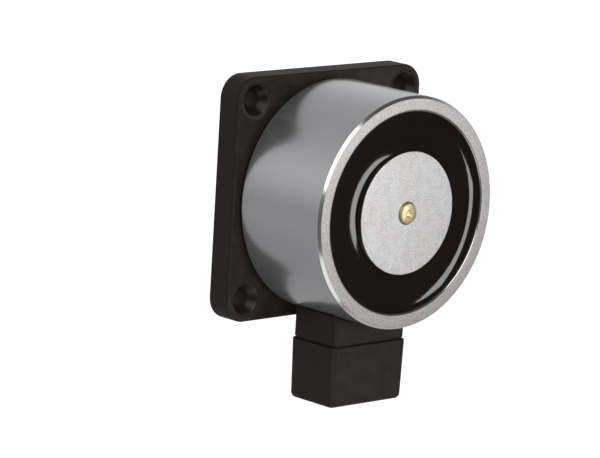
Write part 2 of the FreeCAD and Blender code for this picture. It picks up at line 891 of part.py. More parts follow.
def make_terminal_cap():
    """The tapered cap that closes the wiring box from below."""
    body = new_body("terminal_cap")
    width, reach, height = cell("cap_width"), cell("cap_reach"), cell("cap_height")
    narrow, shallow = width - cell("cap_taper_width"), reach - cell("cap_taper_reach")
    wall = cell("cap_wall")
    loft_between(body, "Additive", (width, reach, 0), (narrow, shallow, -height))
    rounded(body, cell("cap_corner_radius"), lambda edge: box_reach(edge, "z") > 1
            and not lies_at(edge, "z", -height.value))
    rounded(body, cell("cap_foot_radius"), lambda edge: lies_at(edge, "z", -height.value))
    rounded(body, cell("cap_rim_radius"), lambda edge: lies_at(edge, "z", 0))
    hollow = height - wall
    share = hollow / height
    inner_width = width - wall * 2
    inner_reach = reach - wall * 2
    loft_between(
        body, "Subtractive", (inner_width, inner_reach, 0),
        (inner_width - cell("cap_taper_width") * share,
         inner_reach - cell("cap_taper_reach") * share, -hollow),
    )
    rounded(
        body, cell("cap_corner_radius") - wall / 2,
        lambda edge: stands_at(edge, inner_width.value / 2, inner_reach.value / 2),
    )
    bosses = [(x, y, cell("cap_boss_width")) for x, y in column_spots]
    pad(body, circles(body, "XY_Plane", bosses, -hollow), cell("cap_boss_height"), 1)
    holes = [(x, y, cell("cap_screw_width") + contact_gap * 4) for x, y in column_spots]
    holes.append((0, 0, cell("grommet_neck_width") + contact_gap * 2))
    pocket(body, circles(body, "XY_Plane", holes, -height), 1, wall + cell("cap_boss_height"))
    recesses = [(x, y, cell("cap_screw_head_width") + assembly_gap * 2) for x, y in column_spots]
    sunk = cell("cap_screw_head_height") + contact_gap * 2
    pocket(body, circles(body, "XY_Plane", recesses, -height), 1, sunk)
    place(body, y=-box_depth, z=-cap_top)


def loft_between(body, kind, top, bottom):
    """Adds or removes a tapered block between two rectangles (width, reach, level)."""
    feature = body.newObject(f"PartDesign::{kind}Loft", "loft")
    ends = [
        outline(body, "XY_Plane", rectangle(width, reach), level)
        for width, reach, level in (top, bottom)
    ]
    feature.Profile = ends[0]
    feature.Sections = [ends[1]]
    feature.Ruled = True
    settled(body, feature, grows=kind == "Additive")


def stands_at(edge, half_width, half_reach):
    """True for an upright or tapered corner edge whose upper end is this far out."""
    start, end = edge.Vertexes[0].Point, edge.Vertexes[-1].Point
    upper = start if start.z > end.z else end
    at_corner = abs(abs(upper.x) - half_width) < 1e-4 and abs(abs(upper.y) - half_reach) < 1e-4
    return at_corner and abs(start.z - end.z) > 1


def make_cap_screws():
    """Two screws from below through the cap into the columns."""
    screws = []
    seat = cap_bottom - cell("cap_screw_head_height") - contact_gap * 2
    for x, y in column_spots:
        body = screw(
            "cap_screw", "z", 1, cell("cap_screw_width"), cell("cap_screw_length"),
            cell("cap_screw_head_width"), cell("cap_screw_head_height"),
        )
        screws.append(place(body, x=x, y=y - box_depth, z=-seat))
    group("cap_screws", screws)


def make_grommet():
    """The cable grommet, snapped into the cap's floor."""
    body = new_body("cable_grommet")
    bore = cell("grommet_bore") / 2
    neck = cell("grommet_neck_width") / 2
    flange = cell("grommet_flange_width") / 2
    thick = cell("grommet_flange")
    wall = cell("cap_wall")
    bevel = thick / 3
    turned(body, "XZ_Plane", [
        (bore + bevel, -thick),
        (flange - thick / 2, -thick, thick / 2),
        (flange, thick / -2),
        (flange, 0),
        (neck, 0),
        (neck, wall),
        (flange, wall),
        (flange - thick / 2, wall + thick),
        (bore, wall + thick),
        (bore, bevel - thick),
    ])
    place(body, y=-box_depth, z=-cap_bottom)


def make_lead_bush():
    """The rubber bush that guards the coil's leads through the magnet's wall and the base."""
    body = new_body("lead_bush")
    inner, outer = cell("bush_bore") / 2, cell("bush_width") / 2
    top = rim_inner + assembly_gap * 2
    bottom = base_ceiling + assembly_gap * 2
    turned(body, "XZ_Plane", [(inner, -bottom), (outer, -bottom), (outer, -top), (inner, -top)])
    place(body, y=-box_depth)


def make_coil_leads():
    """Two insulated leads from the winding, through the bush and into the clamps."""
    start = cell("winding_width") / 2 + cell("tape_thickness") + contact_gap + assembly_gap
    x_out = cell("lead_spread") / 2
    splay = base_ceiling + assembly_gap * 8
    level = block_top - assembly_gap * 2
    end = clamp_level - cell("clamp_length") / 2 + cell("clamp_bore")
    for label, side in (("coil_lead_left", -1), ("coil_lead_right", 1)):
        route = [
            (x_out * side, -start), (x_out * side, -splay),
            (clamp_x * side, -level), (clamp_x * side, -end),
        ]
        points = [
            FreeCAD.Vector(x.value, -box_depth.value, z.value) for x, z in route
        ]
        wire = doc.addObject("Part::Feature", label)
        wire.Label = label
        wire.Shape = bent_rod(points, cell("lead_width").value / 2)
        PIECES.append(wire)


def bent_rod(points, radius):
    """A round rod along straight runs joined by tangent arcs."""
    edges = []
    here = points[0]
    for before, corner, after in zip(points, points[1:], points[2:]):
        back, ahead = before - corner, after - corner
        cut = 0.45 * min(back.Length, ahead.Length)
        enter = corner + back.normalize() * cut
        leave = corner + ahead.normalize() * cut
        half = back.getAngle(ahead) / 2
        bend = cut * math.tan(half)
        middle = corner + (back + ahead).normalize() * (cut / math.cos(half) - bend)
        edges.append(Part.LineSegment(here, enter).toShape())
        edges.append(Part.Arc(enter, middle, leave).toShape())
        here = leave
    edges.append(Part.LineSegment(here, points[-1]).toShape())
    path = Part.Wire(edges)
    section = Part.Wire(Part.Circle(points[0], points[1] - points[0], radius).toShape())
    return path.makePipeShell([section], True, True)


# Terminal block

def make_terminal_block():
    """A two-way block on the tongue, each way a brass clamp with two screws."""
    width, reach, height = cell("block_width"), cell("block_reach"), cell("block_height")
    body = new_body("terminal_block")
    middle = tongue_front - reach / 2
    pad(
        body, outline(body, "XY_Plane", rectangle(width, reach, y=middle), -block_bottom),
        height, 1,
    )
    rounded(body, cell("block_edge"), lambda edge: runs_along(edge, "z"), "Chamfer")
    slot = cell("clamp_width") + contact_gap * 2
    for side in (-1, 1):
        way = outline(body, "XY_Plane", rectangle(slot, slot, x=clamp_x * side), -block_bottom)
        pocket(body, way, 1)
    access = cell("clamp_screw_head_width") + assembly_gap
    holes = circles(body, "XZ_Plane", [(x, z, access) for x, z in clamp_screw_spots()], -block_front)
    pocket(body, holes, 1, block_front - clamp_front + contact_gap)
    width = cell("block_screw_width") + contact_gap * 2
    pocket(body, circles(body, "XZ_Plane", [(0, -clamp_level, width)], -block_front), 1)
    place(body, y=-box_depth)

    for label, side in (("terminal_clamp_left", -1), ("terminal_clamp_right", 1)):
        make_clamp(label, side)


def clamp_screw_spots():
    """Where the clamp screws stand, as (x, z)."""
    rise = cell("clamp_screw_pitch") / 2
    return [(clamp_x * side, rise * up - clamp_level) for side in (-1, 1) for up in (-1, 1)]


def make_clamp(label, side):
    """A square brass sleeve with a bore for the wire and two tapped holes from the front."""
    body = new_body(label)
    wide, length = cell("clamp_width"), cell("clamp_length")
    pad(body, outline(body, "XY_Plane", rectangle(wide, wide), length / -2), length, 1)
    rounded(body, wide / 12, lambda edge: runs_along(edge, "z"), "Chamfer")
    bore = circles(body, "XY_Plane", [(0, 0, cell("clamp_bore"))], length / -2)
    pocket(body, bore, 1)
    rise = cell("clamp_screw_pitch") / 2
    tapped = cell("clamp_screw_width") + contact_gap * 2
    taps = circles(body, "XZ_Plane", [(0, rise * up, tapped) for up in (-1, 1)], wide / -2)
    pocket(body, taps, 1, wide / 2)
    place(body, x=clamp_x * side, y=-box_depth, z=-clamp_level)


def make_terminal_screws():
    """Four slotted clamp screws, and the screw that holds the block to the tongue."""
    tip = cell("lead_width") / 2 + contact_gap
    length = clamp_front + contact_gap * 2 - tip
    screws = []
    for x, z in clamp_screw_spots():
        body = screw(
            "terminal_screw", "y", 1, cell("clamp_screw_width"), length,
            cell("clamp_screw_head_width"), cell("clamp_screw_head_height"), slotted=True,
        )
        screws.append(place(body, x=x, y=-box_depth - tip - length, z=z))
    group("terminal_screws", screws)

    length = cell("block_reach") + cell("tongue_thickness")
    holder = screw(
        "block_screw", "y", 1, cell("block_screw_width"), length,
        cell("block_screw_head_width"), cell("block_screw_head_height"),
    )
    place(holder, y=-box_depth - block_front, z=-clamp_level)
    PIECES.append(holder)


make_base_plate()
make_pot_screws()
make_magnet_pot()
make_coil()
make_resin()
make_push_off_pin()
make_lead_bush()
make_coil_leads()
make_saddle_gasket()
make_connector_base()
make_base_screws()
make_terminal_block()
make_terminal_screws()
make_cap_seal()
make_terminal_cap()
make_cap_screws()
make_grommet()
doc.recompute()

for thing in doc.Objects:
    if "Invalid" in thing.State or "Error" in thing.State:
        raise RuntimeError(f"{thing.Label} failed: {thing.State}")
for piece in PIECES:
    if piece.Shape.isNull() or not piece.Shape.isValid():
        raise RuntimeError(f"{piece.Label} has no valid shape")

os.makedirs("parts", exist_ok=True)
for piece in PIECES:
    piece.Shape.exportStep(f"parts/{piece.Label}.step")
    box = piece.Shape.BoundBox
    print(
        f"{piece.Label}: {len(piece.Shape.Solids)} solid, {piece.Shape.Volume:.1f} mm3,"
        f" x {box.XMin:.2f}..{box.XMax:.2f}, y {box.YMin:.2f}..{box.YMax:.2f},"
        f" z {box.ZMin:.2f}..{box.ZMax:.2f}"
    )
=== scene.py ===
import math

import bpy
from mathutils import Matrix, Quaternion, Vector


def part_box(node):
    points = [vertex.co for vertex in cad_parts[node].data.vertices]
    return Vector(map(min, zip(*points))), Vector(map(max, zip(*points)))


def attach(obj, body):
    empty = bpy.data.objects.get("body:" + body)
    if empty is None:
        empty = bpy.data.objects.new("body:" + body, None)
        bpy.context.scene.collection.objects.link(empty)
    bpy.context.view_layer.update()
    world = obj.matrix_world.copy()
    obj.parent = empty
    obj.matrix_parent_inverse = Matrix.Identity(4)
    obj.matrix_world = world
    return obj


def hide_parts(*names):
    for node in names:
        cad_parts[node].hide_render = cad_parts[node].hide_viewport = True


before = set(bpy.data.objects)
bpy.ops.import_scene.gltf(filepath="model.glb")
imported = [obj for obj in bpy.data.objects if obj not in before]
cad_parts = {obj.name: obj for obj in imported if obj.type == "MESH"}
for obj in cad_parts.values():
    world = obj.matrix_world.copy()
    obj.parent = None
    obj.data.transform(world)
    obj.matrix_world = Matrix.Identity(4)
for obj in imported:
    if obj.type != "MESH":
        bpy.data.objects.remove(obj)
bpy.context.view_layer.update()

# The wall plate is one moulding in black ABS. The mould was spark-eroded, which leaves a
# fine even grain, and four screws go through its countersunk corners into the wall.
MM = 0.001  # lengths are written in millimetres times this
# from the sides' dark tone to the front's paler tone, the paler one being painted light
PLATE_TONES = (0.0125, 0.0062, 0.0054), (0.0650, 0.0470, 0.0410)
PLATE_FLOW = (60.0, 60.0, 60.0)  # flow marks in a metre along X, Y and Z
PLATE_THICKNESS = 8.0 * MM
HOLE_PLACE = 30.0 * MM
HOLE_WIDEST = 5.8 * MM
HOLE_NARROWEST = 2.9 * MM
PLASTIC_SHINE = 0.24
PLASTIC_PITS = 0.8 * MM
PLASTIC_SCUFFS = 4.5 * MM
SPARK_GRAIN = 0.21 * MM
SPARK_DEPTH = 0.014 * MM


class Socket:
    """One output in a node tree, with the arithmetic on it written as Python."""

    def __init__(self, nodes, output):
        self.nodes = nodes
        self.output = output

    def __add__(self, other):
        return self.nodes.math("ADD", self, other)

    def __radd__(self, other):
        return self.nodes.math("ADD", other, self)

    def __sub__(self, other):
        return self.nodes.math("SUBTRACT", self, other)

    def __rsub__(self, other):
        return self.nodes.math("SUBTRACT", other, self)

    def __mul__(self, other):
        return self.nodes.math("MULTIPLY", self, other)

    def __rmul__(self, other):
        return self.nodes.math("MULTIPLY", other, self)

    def __neg__(self):
        return self.nodes.math("MULTIPLY", self, -1.0)

    def step(self, low, high):
        """0 at low, 1 at high and a soft rise between them."""
        settings = {"interpolation_type": "SMOOTHSTEP"}
        return self.nodes.add("ShaderNodeMapRange", settings, {"Value": self, 1: low, 2: high})


class Nodes:
    """The node tree of a material or a world, built one node at a time."""

    def __init__(self, owner):
        owner.use_nodes = True
        self.owner = owner
        self.tree = owner.node_tree
        self.tree.nodes.clear()

    def add(self, kind, settings, values, wanted=0):
        """Adds a node with its settings, then its values or links, and returns one output."""
        made = self.tree.nodes.new(kind)
        for key, setting in settings.items():
            setattr(made, key, setting)
        for key, value in values.items():
            if isinstance(value, Socket):
                self.tree.links.new(value.output, made.inputs[key])
            else:
                made.inputs[key].default_value = value
        return Socket(self, made.outputs[wanted]) if made.outputs else None

    def math(self, operation, *values):
        """A sum, or another function, of sockets and numbers."""
        return self.add("ShaderNodeMath", {"operation": operation}, dict(enumerate(values)))

    def place(self, stretch=(1.0, 1.0, 1.0)):
        """The place on the piece in metres, or stretched."""
        here = self.add("ShaderNodeTexCoord", {}, {}, "Object")
        return self.add("ShaderNodeMapping", {}, {"Vector": here, "Scale": stretch})

    def axis(self, name):
        """One coordinate of the place on the piece, in metres."""
        here = self.add("ShaderNodeTexCoord", {}, {}, "Object")
        return self.add("ShaderNodeSeparateXYZ", {}, {"Vector": here}, name)

    def noise(self, size, detail=2.0, place=None):
        """Cloudy noise whose patches are about this long."""
        values = {"Vector": place or self.place(), "Scale": 1.0 / size, "Detail": detail}
        return self.add("ShaderNodeTexNoise", {}, values)

    def blend(self, amount, first, second):
        """A colour between two others."""
        colours = [c if isinstance(c, Socket) else (*c, 1.0) for c in (first, second)]
        values = {0: amount, 6: colours[0], 7: colours[1]}
        return self.add("ShaderNodeMix", {"data_type": "RGBA"}, values, 2)

    def bump(self, height, depth):
        """A relief this deep."""
        return self.add("ShaderNodeBump", {}, {"Height": height, "Distance": depth})

    def finish(self, **values):
        """Ends the tree in one Principled shader and returns the material."""
        named = {key.replace("_", " "): value for key, value in values.items()}
        surface = self.add("ShaderNodeBsdfPrincipled", {}, named)
        self.add("ShaderNodeOutputMaterial", {}, {"Surface": surface})
        return self.owner


def moulded_black(name, tones, flow, front):
    """Black plastic with a spark-eroded grain and glossy screw holes, with painted light making the
    front face paler than the sides.
    """
    nodes = Nodes(bpy.data.materials.new(name))
    clouds = nodes.noise(1.0, 2.0, nodes.place(flow))
    grain = nodes.noise(SPARK_GRAIN, 1.0)
    pits = nodes.noise(PLASTIC_PITS, 3.0)
    scuffs = nodes.noise(PLASTIC_SCUFFS, 3.0).step(0.40, 0.70)
    # painted light: the front face gets a paler colour than the sides and edges
    painted_lit_front = (-nodes.axis("Y")).step(front - 0.5 * MM, front)
    shade = 0.20 * clouds + 0.60 * pits - 0.20 + painted_lit_front * (0.34 + 0.28 * scuffs)
    aside = nodes.math("ABSOLUTE", nodes.axis("X")) - HOLE_PLACE
    above = nodes.math("ABSOLUTE", nodes.axis("Z")) - HOLE_PLACE
    square = aside * aside + above * above  # of the distance from a screw's middle
    hole = square.step(0.9 * HOLE_NARROWEST ** 2, HOLE_NARROWEST ** 2)
    hole = hole - square.step(0.95 * HOLE_WIDEST ** 2, HOLE_WIDEST ** 2)
    return nodes.finish(
        Base_Color=nodes.blend(shade, *tones),
        Roughness=0.50 + 0.10 * clouds + 0.12 * pits - 0.12 * painted_lit_front - 0.32 * hole,
        Specular_IOR_Level=PLASTIC_SHINE,
        Normal=nodes.bump(grain + pits, SPARK_DEPTH),
    )


def dress(material, *names):
    """Gives CAD nodes a material in place of the one that they came with."""
    for name in names:
        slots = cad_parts[name].data.materials
        slots.clear()
        slots.append(material)


dress(moulded_black("plate_plastic", PLATE_TONES, PLATE_FLOW, PLATE_THICKNESS), "base_plate")

# Three pan-head screws with washers hold the magnet from behind. They are rolled and
# turned steel with bright zinc, as are the other screws and the plug behind the spring.
ZINC_TONES = (0.50, 0.53, 0.57), (0.66, 0.67, 0.66)
ZINC_BLOOM = 1.6 * MM
ZINC_SCUFFS = 0.25 * MM


def zinc_plated():
    nodes = Nodes(bpy.data.materials.new("bright_zinc"))
    bloom = nodes.noise(ZINC_BLOOM, 3.0)
    scuffs = nodes.noise(ZINC_SCUFFS, 2.0)
    return nodes.finish(
        Base_Color=nodes.blend(bloom, *ZINC_TONES),
        Metallic=1.0,
        Roughness=0.20 + 0.16 * bloom + 0.10 * scuffs,
        Normal=nodes.bump(scuffs, 0.004 * MM),
    )


dress(
    zinc_plated(), "pot_screws", "pot_washers", "base_screws", "cap_screws", "terminal_screws",
    "block_screw", "spring_plug",
)

# The magnet is turned from bar in one piece with its core. The side is plated over fine
# turning marks; the ring and the pole are then ground flat, so they are paler and mottled,
# the chamfers are burnished bright, and the ring's inner edge is worn round.
POT_LOW, POT_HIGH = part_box("magnet_pot")
POT_RADIUS = POT_HIGH.x
FACE_Y = POT_LOW.y
SEAT_Y = POT_HIGH.y
RING_INNER = 30.3 * MM
CORE_RADIUS = 18.5 * MM
GROOVE_FLOOR_Y = FACE_Y + 25.0 * MM
PIN_HOLE = 3.05 * MM
FACE_CHAMFER = 0.8 * MM
INNER_ROUND = 0.75 * MM
INNER_STEPS = 6
POLE_CHAMFER = 0.12 * MM
REAR_CHAMFER = 0.5 * MM
MOUTH_CHAMFER = 0.45 * MM
LAND_DEPTH = 4.0 * MM
CHAMBER_RADIUS = 4.5 * MM
SHARP_EDGE = 0.07 * MM
SIDE_TONES = (0.44, 0.435, 0.455), (0.52, 0.52, 0.535)
SIDE_DUST = (0.24, 0.22, 0.21)
FACE_PINK, FACE_BLUE = (0.60, 0.545, 0.54), (0.595, 0.605, 0.615)
FACE_GRIT = (0.83, 0.825, 0.82)
FACE_BLOTCH = (0.46, 0.425, 0.42)
# the ring's duller tones, also used for the painted shade at its lower left
RING_DULL_AND_SHADED = (0.33, 0.295, 0.285), (0.57, 0.525, 0.515)
BURNISHED = (0.72, 0.71, 0.70)
# the colour of the painted shade in the recess and against the plate
PAINTED_SHADE = (0.05, 0.042, 0.036)
TURNING_PITCH = 0.11 * MM
TURNING_FLOW = (8.0, 1.0 / TURNING_PITCH, 8.0)


def turned(name, corners, edge_round=0.0, steps=256):
    """A piece turned about the Y axis from a closed outline of (radius, y) corners."""
    bpy.ops.object.select_all(action="DESELECT")
    radius, level = corners[0]
    bpy.ops.mesh.primitive_circle_add(
        vertices=steps, radius=radius, location=(0.0, level, 0.0), rotation=(math.pi / 2, 0.0, 0.0)
    )
    piece = bpy.context.object
    piece.name = name
    bpy.ops.object.transform_apply(location=True, rotation=True, scale=True)
    bpy.ops.object.mode_set(mode="EDIT")
    bpy.ops.mesh.select_all(action="SELECT")
    for (radius, level), (wider, further) in zip(corners, corners[1:] + corners[:1]):
        bpy.ops.mesh.extrude_region_move(
            TRANSFORM_OT_translate={"value": (0.0, further - level, 0.0)}
        )
        bpy.ops.transform.resize(
            value=(wider / radius, 1.0, wider / radius), center_override=(0.0, further, 0.0)
        )
    bpy.ops.mesh.select_all(action="SELECT")
    bpy.ops.mesh.remove_doubles(threshold=0.001 * MM)
    bpy.ops.mesh.normals_make_consistent(inside=False)
    bpy.ops.object.mode_set(mode="OBJECT")
    if edge_round:
        rounding = piece.modifiers.new("edge_round", "BEVEL")
        rounding.width = edge_round
        rounding.segments = 3
        rounding.limit_method = "ANGLE"
        rounding.angle_limit = math.radians(20.0)
        bpy.ops.object.modifier_apply(modifier=rounding.name)
    bpy.ops.object.shade_smooth_by_angle(angle=math.radians(40.0))
    evening = piece.modifiers.new("even_shading", "WEIGHTED_NORMAL")
    evening.keep_sharp = True
    bpy.ops.object.modifier_apply(modifier=evening.name)
    return piece


inner_edge = []
for step in range(INNER_STEPS + 1):
    tilt = math.radians(90.0 * step / INNER_STEPS)
    inner_edge.append((
        RING_INNER + INNER_ROUND * (1 - math.sin(tilt)), FACE_Y + INNER_ROUND * (1 - math.cos(tilt))
    ))
magnet = turned("magnet_turned", [
    (CHAMBER_RADIUS, SEAT_Y),
    (POT_RADIUS - REAR_CHAMFER, SEAT_Y),
    (POT_RADIUS, SEAT_Y - REAR_CHAMFER),
    (POT_RADIUS, FACE_Y + FACE_CHAMFER),
    (POT_RADIUS - FACE_CHAMFER, FACE_Y),
    *inner_edge,
    (RING_INNER, GROOVE_FLOOR_Y),
    (CORE_RADIUS, GROOVE_FLOOR_Y),
    (CORE_RADIUS, FACE_Y + POLE_CHAMFER),
    (CORE_RADIUS - POLE_CHAMFER, FACE_Y),
    (PIN_HOLE + MOUTH_CHAMFER, FACE_Y),
    (PIN_HOLE, FACE_Y + MOUTH_CHAMFER),
    (PIN_HOLE, FACE_Y + LAND_DEPTH),
    (CHAMBER_RADIUS, FACE_Y + LAND_DEPTH),
], edge_round=SHARP_EDGE)


def plated_and_ground():
    """Plating on the side, unplated steel on the ring and the pole, and painted shade down the
    walls between the ring and the pole and on the edge against the plate.
    """
    nodes = Nodes(bpy.data.materials.new("plated_and_ground_steel"))
    forward, face_at = -nodes.axis("Y"), -FACE_Y
    across, up = nodes.axis("X"), nodes.axis("Z")
    out = nodes.math("SQRT", across * across + up * up)

    # the ground face and its chamfers, and painted shade on the walls between the ring and the pole
    # and on the edge against the plate
    ground = forward.step(face_at - 0.05 * MM, face_at - 0.02 * MM)
    chamfer = forward.step(face_at - FACE_CHAMFER - 0.03 * MM, face_at - FACE_CHAMFER) - ground
    # painted shade: the walls below the face are darkened, the shade starting deeper towards the
    # bottom
    shade_deeper_low = 0.55 * MM * (-up).step(5.0 * MM, 9.0 * MM)
    groove_shade = 1.0 - (forward + shade_deeper_low).step(face_at - 0.40 * MM, face_at - 0.15 * MM)
    groove_shade = groove_shade * (out.step(10.0 * MM, 11.0 * MM) - out.step(32.0 * MM, 32.1 * MM))
    # painted shade on the rear edge, where the magnet meets the plate
    seat_shade = 1.0 - forward.step(-SEAT_Y + 0.55 * MM, -SEAT_Y + 0.75 * MM)

    # the side: clouded plating, and dust towards the plate
    clouds = nodes.noise(22.0 * MM, 2.0)
    turning = nodes.noise(1.0, 2.0, nodes.place(TURNING_FLOW))
    crystals = nodes.noise(0.9 * MM, 2.0)
    dust = nodes.noise(0.5 * MM, 3.0).step(0.48, 0.66) * (1.0 - forward.step(9.0 * MM, 24.0 * MM))
    side = nodes.blend(0.5 * clouds + 0.2 * turning + 0.3 * crystals, *SIDE_TONES)
    side = nodes.blend(0.35 * dust, side, SIDE_DUST)

    # the face: mottled; the ring duller than the pole all round, and darker towards its lower left
    # as painted shade
    tint = nodes.noise(8.0 * MM, 3.0)
    grit = nodes.noise(0.52 * MM, 3.0)
    blotch = nodes.noise(2.6 * MM, 3.0).step(0.40, 0.66)
    face = nodes.blend(tint.step(0.36, 0.64), FACE_PINK, FACE_BLUE)
    face = nodes.blend(grit.step(0.28, 0.72), face, FACE_GRIT)
    face = nodes.blend(0.22 * blotch, face, FACE_BLOTCH)
    ring = out.step(25.0 * MM, 26.0 * MM)
    # painted shade: the ring darkens from its upper right to its lower left
    painted_lit_upper_right = (up + 0.35 * across).step(-36.0 * MM, 36.0 * MM)
    ring_dull_and_shaded = nodes.blend(grit.step(0.30, 0.70), *RING_DULL_AND_SHADED)
    face = nodes.blend(ring * (0.82 - 0.46 * painted_lit_upper_right), face, ring_dull_and_shaded)

    colour = nodes.blend(ground, side, face)
    colour = nodes.blend(chamfer, colour, BURNISHED)
    # painted shade laid over the other colours last
    colour = nodes.blend(nodes.math("MAXIMUM", groove_shade, seat_shade), colour, PAINTED_SHADE)
    return nodes.finish(
        Base_Color=colour,
        Metallic=0.72 + 0.28 * ground + 0.28 * chamfer - 0.5 * groove_shade,
        Roughness=0.19 + 0.05 * clouds + ground * (0.16 + 0.12 * grit) - 0.03 * chamfer,
        Normal=nodes.bump(0.3 * turning + 0.8 * crystals + ground * (1.2 * grit), 0.010 * MM),
    )


magnet.data.materials.append(plated_and_ground())
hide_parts("magnet_pot")
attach(magnet, "holder")

# The coil is enamelled copper wire, wound on a bobbin of moulded nylon and wrapped in
# polyester tape. It lies in the magnet's groove, under the potting.
WIRE_PITCH = 0.4 * MM
COPPER_TONES = (0.42, 0.15, 0.06), (0.58, 0.24, 0.10)
TAPE_TONES = (0.70, 0.47, 0.05), (0.78, 0.58, 0.10)
BOBBIN_TONES = (0.52, 0.49, 0.41), (0.60, 0.57, 0.49)
NYLON_FIBRES = (700.0, 3200.0, 700.0)  # in a metre along X, Y and Z
NYLON_GLOW = (0.0012, 0.0010, 0.0008)


def natural_nylon(name, tones):
    nodes = Nodes(bpy.data.materials.new(name))
    clouds = nodes.noise(6.0 * MM, 2.0)
    fibres = nodes.noise(1.0, 2.0, nodes.place(NYLON_FIBRES))
    return nodes.finish(
        Base_Color=nodes.blend(clouds, *tones),
        Roughness=0.36 + 0.14 * fibres,
        Subsurface_Weight=0.1,
        Subsurface_Radius=NYLON_GLOW,
        Normal=nodes.bump(fibres, 0.012 * MM),
    )


def wound_copper():
    nodes = Nodes(bpy.data.materials.new("enamelled_copper"))
    turns = nodes.math("SINE", nodes.axis("Y") * (2.0 * math.pi / WIRE_PITCH))
    patina = nodes.noise(3.0 * MM, 3.0)
    return nodes.finish(
        Base_Color=nodes.blend(patina, *COPPER_TONES),
        Metallic=0.85,
        Roughness=0.26 + 0.12 * patina,
        Normal=nodes.bump(turns, 0.06 * MM),
    )


def taped():
    nodes = Nodes(bpy.data.materials.new("polyester_tape"))
    laps = nodes.noise(5.0 * MM, 2.0)
    creases = nodes.noise(0.9 * MM, 3.0)
    return nodes.finish(
        Base_Color=nodes.blend(laps, *TAPE_TONES),
        Roughness=0.24 + 0.16 * creases,
        Normal=nodes.bump(creases, 0.03 * MM),
    )


dress(natural_nylon("bobbin_nylon", BOBBIN_TONES), "coil_bobbin")
dress(wound_copper(), "coil_winding")
dress(taped(), "winding_tape")

# The potting is black epoxy, poured over the coil with the magnet lying on its back. It
# has drawn up the pole a little and up the ring more steeply, and it set like glass.
LEVEL_Y = FACE_Y + 2.0 * MM
POTTING_REAR_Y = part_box("potting_resin")[1].y
WALL_GAP = 0.05 * MM
POLE_CURVE = 25.0 * MM
POLE_REACH = 4.35 * MM
RING_CURVE = 10.5 * MM
RING_REACH = 4.10 * MM
SURFACE_STEPS = 64
EPOXY_BLACK = (0.0135, 0.0066, 0.0030)
EPOXY_MOTES = (0.034, 0.026, 0.020)


def climb(reach, curve, out):
    """How far the potting stands above its level this far out from a wall."""
    run = max(reach - out, 0.0)
    return curve - math.sqrt(curve ** 2 - run ** 2)


inner, outer = CORE_RADIUS + WALL_GAP, RING_INNER - WALL_GAP
surface = []
for step in range(SURFACE_STEPS + 1):
    radius = outer + (inner - outer) * step / SURFACE_STEPS
    at_ring = climb(RING_REACH, RING_CURVE, outer - radius)
    at_pole = climb(POLE_REACH, POLE_CURVE, radius - inner)
    surface.append((radius, LEVEL_Y - (at_ring + at_pole)))
potting = turned("potting_poured", [(outer, POTTING_REAR_Y), *surface, (inner, POTTING_REAR_Y)])


def set_epoxy():
    nodes = Nodes(bpy.data.materials.new("black_epoxy"))
    sway = nodes.noise(9.0 * MM, 2.0)
    motes = nodes.noise(0.35 * MM, 3.0).step(0.70, 0.80)
    return nodes.finish(
        Base_Color=nodes.blend(motes, EPOXY_BLACK, EPOXY_MOTES),
        Roughness=0.055 + 0.03 * sway + 0.25 * motes,
        Specular_IOR_Level=0.46,
        Normal=nodes.bump(sway, 0.05 * MM),
    )


potting.data.materials.append(set_epoxy())
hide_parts("potting_resin")
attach(potting, "holder")

# The push-off pin is turned from brass and slides in the magnet's middle, held by its
# collar. Its end is slightly domed round a small hollow, and stands out of the pole.
PIN_RADIUS = 3.0 * MM
PIN_TIP_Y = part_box("push_off_pin")[0].y
PIN_DOME = 0.36 * MM
DOME_STEPS = 6
HOLLOW_RADIUS = 1.4 * MM
HOLLOW_FLOOR = 0.8 * MM
HOLLOW_DEPTH = 0.8 * MM
COLLAR_RADIUS = 4.3 * MM
COLLAR_FRONT_Y = FACE_Y + LAND_DEPTH
COLLAR_REAR_Y = COLLAR_FRONT_Y + 2.0 * MM
TAIL_RADIUS = 2.25 * MM
TAIL_CHAMFER = 0.4 * MM
TAIL_END_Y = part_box("push_off_pin")[1].y
PIN_AXIS = 0.01 * MM  # as near to its middle as the outline goes
PIN_EDGE = 0.04 * MM
BRASS_BRIGHT, BRASS_DULL = (0.94, 0.80, 0.53), (0.80, 0.63, 0.36)

ball = (PIN_RADIUS ** 2 + PIN_DOME ** 2) / (2 * PIN_DOME)
crest = ball - math.sqrt(ball ** 2 - HOLLOW_RADIUS ** 2)
dome = []
for step in range(DOME_STEPS + 1):
    radius = PIN_RADIUS + (HOLLOW_RADIUS - PIN_RADIUS) * step / DOME_STEPS
    dome.append((radius, PIN_TIP_Y + ball - math.sqrt(ball ** 2 - radius ** 2) - crest))
pin = turned("pin_turned", [
    (PIN_AXIS, TAIL_END_Y),
    (TAIL_RADIUS - TAIL_CHAMFER, TAIL_END_Y),
    (TAIL_RADIUS, TAIL_END_Y - TAIL_CHAMFER),
    (TAIL_RADIUS, COLLAR_REAR_Y),
    (COLLAR_RADIUS, COLLAR_REAR_Y),
    (COLLAR_RADIUS, COLLAR_FRONT_Y),
    (PIN_RADIUS, COLLAR_FRONT_Y),
    *dome,
    (HOLLOW_FLOOR, PIN_TIP_Y + HOLLOW_DEPTH),
    (PIN_AXIS, PIN_TIP_Y + HOLLOW_DEPTH),
], edge_round=PIN_EDGE, steps=128)


def turned_brass():
    nodes = Nodes(bpy.data.materials.new("turned_brass"))
    tarnish = nodes.noise(1.5 * MM, 3.0)
    marks = nodes.noise(0.3 * MM, 2.0)
    return nodes.finish(
        Base_Color=nodes.blend(tarnish.step(0.35, 0.70), BRASS_BRIGHT, BRASS_DULL),
        Metallic=1.0,
        Roughness=0.42 + 0.10 * tarnish,
        Normal=nodes.bump(marks + tarnish, 0.02 * MM),
    )


